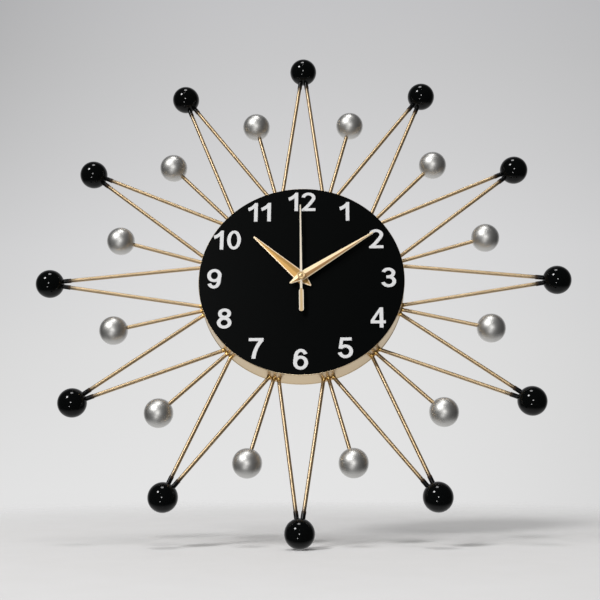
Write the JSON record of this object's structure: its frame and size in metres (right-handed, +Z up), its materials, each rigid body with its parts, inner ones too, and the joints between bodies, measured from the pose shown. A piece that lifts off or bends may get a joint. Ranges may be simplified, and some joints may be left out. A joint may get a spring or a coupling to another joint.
{
  "type": "wall clock",
  "caption": "Sunburst wall clock: black dial in a shallow gold drum, wire spokes that end in black and silver balls, and a battery movement behind the hands.",
  "frame": {"origin": "centre of the keyhole's round entry, on the wall plane", "axes": "+Z up, +X to the viewer's right, +Y into the wall; the dial faces -Y"},
  "size_m": [0.5004, 0.0325, 0.5004],
  "materials": {
    "champagne_gold": "satin champagne gold plated sheet steel",
    "dial_black": "satin black paint",
    "numeral_white": "satin white",
    "black_steel": "black powder coat",
    "steel": "bright steel",
    "gold_wire": "polished gold plated wire",
    "black_sleeve": "satin black sleeve",
    "movement_plastic": "black moulded plastic",
    "rubber": "black rubber",
    "brass": "turned brass",
    "wheel_plastic": "moulded acetal",
    "copper": "enamelled copper winding",
    "board_green": "circuit board",
    "cell_wrap": "printed-free film wrap over a metal can",
    "hand_gold": "gold anodised sheet",
    "gloss_black": "gloss black lacquer",
    "satin_silver": "satin silver"
  },
  "bodies": {
    "case": {"case_pan": "champagne_gold", "dial_plate": "dial_black", "numerals": "numeral_white", "back_plate": "black_steel", "back_lugs": "steel", "back_screws": "steel", "vee_spokes": "gold_wire", "short_spokes": "gold_wire", "leg_sleeves": "black_sleeve", "movement_housing": "movement_plastic", "movement_cover": "movement_plastic", "gasket": "rubber", "washer": "brass", "fixing_nut": "brass", "stator": "steel", "coil": "copper", "circuit_board": "board_green", "crystal": "steel", "positive_contact": "steel", "negative_contact": "steel", "black_ball_1": "gloss_black", "silver_ball_1": "satin_silver", "black_ball_2": "gloss_black", "silver_ball_2": "satin_silver", "black_ball_3": "gloss_black", "silver_ball_3": "satin_silver", "black_ball_4": "gloss_black", "silver_ball_4": "satin_silver", "black_ball_5": "gloss_black", "silver_ball_5": "satin_silver", "black_ball_6": "gloss_black", "silver_ball_6": "satin_silver", "black_ball_7": "gloss_black", "silver_ball_7": "satin_silver", "black_ball_8": "gloss_black", "silver_ball_8": "satin_silver", "black_ball_9": "gloss_black", "silver_ball_9": "satin_silver", "black_ball_10": "gloss_black", "silver_ball_10": "satin_silver", "black_ball_11": "gloss_black", "silver_ball_11": "satin_silver", "black_ball_12": "gloss_black", "silver_ball_12": "satin_silver"},
    "second": {"second_wheel": "wheel_plastic", "second_hand": "hand_gold"},
    "intermediate": {"intermediate_wheel": "wheel_plastic"},
    "rotor": {"rotor": "steel"},
    "third": {"third_wheel": "wheel_plastic"},
    "centre": {"centre_wheel": "brass"},
    "minute": {"minute_pipe": "brass", "minute_hand": "hand_gold"},
    "motion": {"motion_wheel": "wheel_plastic"},
    "hour": {"hour_wheel": "wheel_plastic", "hour_hand": "hand_gold"},
    "knob": {"setting_knob": "movement_plastic"},
    "cell": {"battery": "cell_wrap"}
  },
  "joints": [
    {"name": "second_spin", "type": "hinge", "parent": "case", "child": "second", "pos_m": [0, 0, -0.062], "axis": [0, 1, 0], "continuous": true},
    {"name": "intermediate_spin", "type": "hinge", "parent": "case", "child": "intermediate", "pos_m": [0, 0, -0.05325], "axis": [0, 1, 0], "continuous": true},
    {"name": "rotor_spin", "type": "hinge", "parent": "case", "child": "rotor", "pos_m": [0.00482, 0, -0.0475], "axis": [0, 1, 0], "continuous": true},
    {"name": "third_spin", "type": "hinge", "parent": "case", "child": "third", "pos_m": [-0.00816, 0, -0.0582], "axis": [0, 1, 0], "continuous": true},
    {"name": "centre_spin", "type": "hinge", "parent": "case", "child": "centre", "pos_m": [0, 0, -0.062], "axis": [0, 1, 0], "continuous": true},
    {"name": "minute_spin", "type": "hinge", "parent": "case", "child": "minute", "pos_m": [0, 0, -0.062], "axis": [0, 1, 0], "continuous": true},
    {"name": "motion_spin", "type": "hinge", "parent": "case", "child": "motion", "pos_m": [0.00725, 0, -0.05862], "axis": [0, 1, 0], "continuous": true},
    {"name": "hour_spin", "type": "hinge", "parent": "case", "child": "hour", "pos_m": [0, 0, -0.062], "axis": [0, 1, 0], "continuous": true},
    {"name": "knob_spin", "type": "hinge", "parent": "case", "child": "knob", "pos_m": [0.0145, 0, -0.05524], "axis": [0, 1, 0], "continuous": true},
    {"name": "battery_slide", "type": "slide", "parent": "case", "child": "cell", "axis": [0, 1, 0], "range_m": [0, 0.03]}
  ],
  "couplings": [
    {"joint": "intermediate_spin", "follows": "second_spin", "ratio": -6},
    {"joint": "rotor_spin", "follows": "second_spin", "ratio": 30},
    {"joint": "third_spin", "follows": "second_spin", "ratio": -0.125},
    {"joint": "centre_spin", "follows": "second_spin", "ratio": 0.016667},
    {"joint": "motion_spin", "follows": "minute_spin", "ratio": -0.33333},
    {"joint": "hour_spin", "follows": "minute_spin", "ratio": 0.083333},
    {"joint": "knob_spin", "follows": "minute_spin", "ratio": 1}
  ]
}
